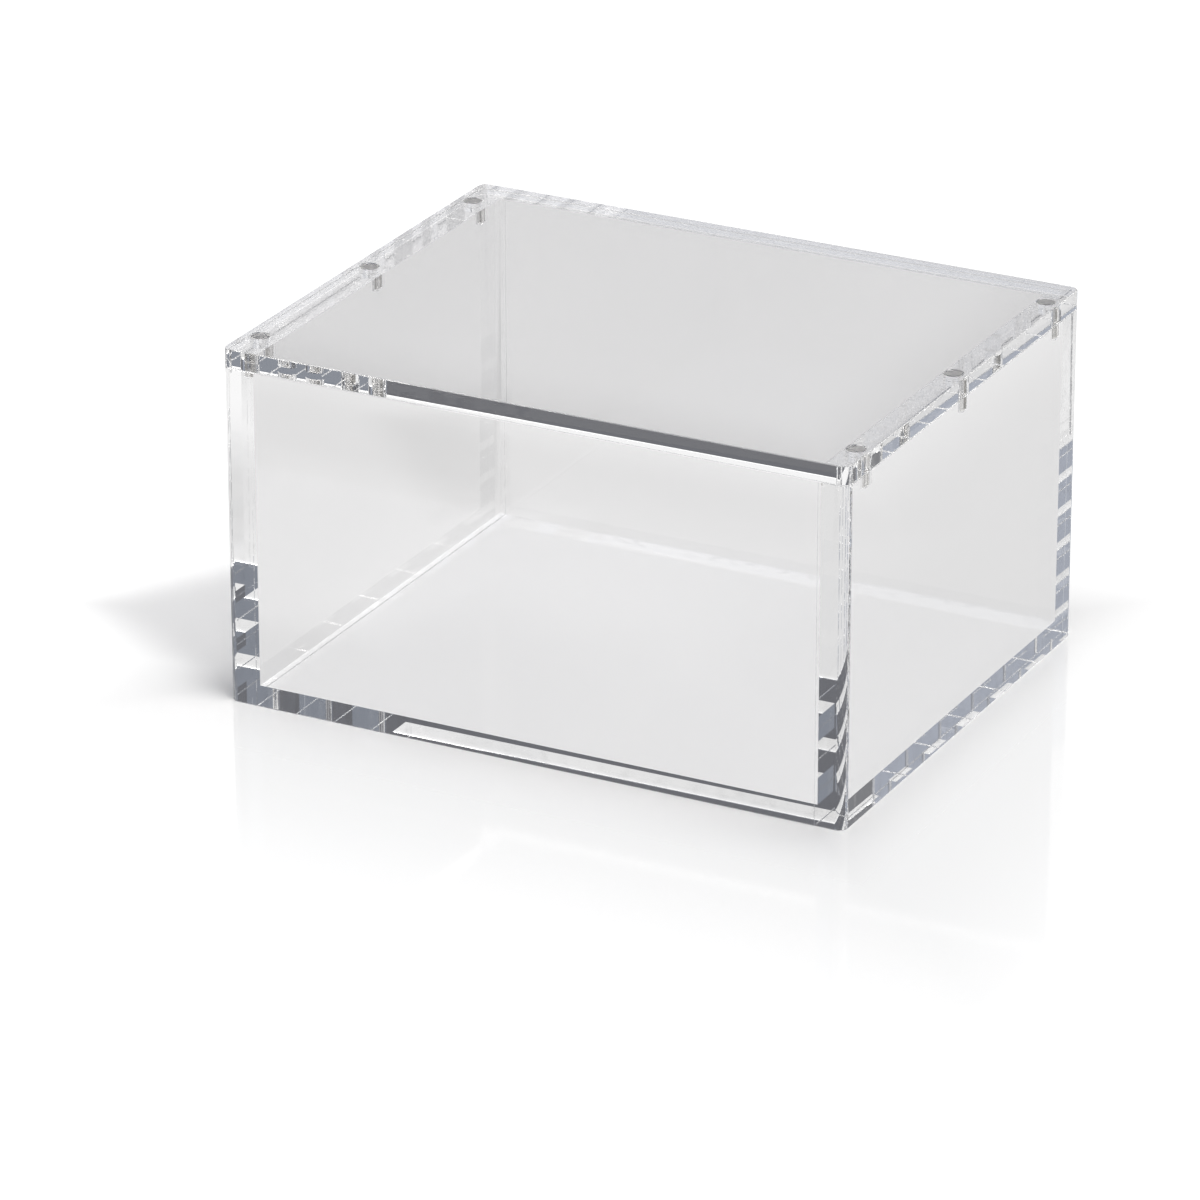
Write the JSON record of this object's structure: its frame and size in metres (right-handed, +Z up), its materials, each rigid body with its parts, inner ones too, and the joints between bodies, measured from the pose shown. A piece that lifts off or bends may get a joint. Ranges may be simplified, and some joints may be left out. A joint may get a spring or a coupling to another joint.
{
  "type": "display case with magnetic lid",
  "caption": "Clear acrylic display case for a box of card packs: upright walls with rounded corners, an inset base and a flat lift-off lid held by small disc magnets.",
  "frame": {"origin": "middle of the footprint, on the surface that the case stands on", "axes": "+X to the right along the long front, +Y towards the back, +Z up through the lid"},
  "size_m": [0.172, 0.136, 0.0953],
  "materials": {
    "clear_acrylic": "polished clear acrylic sheet",
    "nickel_plate": "bright nickel plating on a disc magnet"
  },
  "bodies": {
    "case": {"base_panel": "clear_acrylic", "front_wall": "clear_acrylic", "back_wall": "clear_acrylic", "left_wall": "clear_acrylic", "right_wall": "clear_acrylic", "wall_magnet_left_front": "nickel_plate", "wall_magnet_left_middle": "nickel_plate", "wall_magnet_left_back": "nickel_plate", "wall_magnet_right_front": "nickel_plate", "wall_magnet_right_middle": "nickel_plate", "wall_magnet_right_back": "nickel_plate"},
    "lid": {"lid_panel": "clear_acrylic", "lid_magnet_left_front": "nickel_plate", "lid_magnet_left_middle": "nickel_plate", "lid_magnet_left_back": "nickel_plate", "lid_magnet_right_front": "nickel_plate", "lid_magnet_right_middle": "nickel_plate", "lid_magnet_right_back": "nickel_plate"}
  },
  "joints": [
    {"name": "lid_lift", "type": "slide", "parent": "case", "child": "lid", "axis": [0, 0, 1], "range_m": [0, 0.12]}
  ]
}
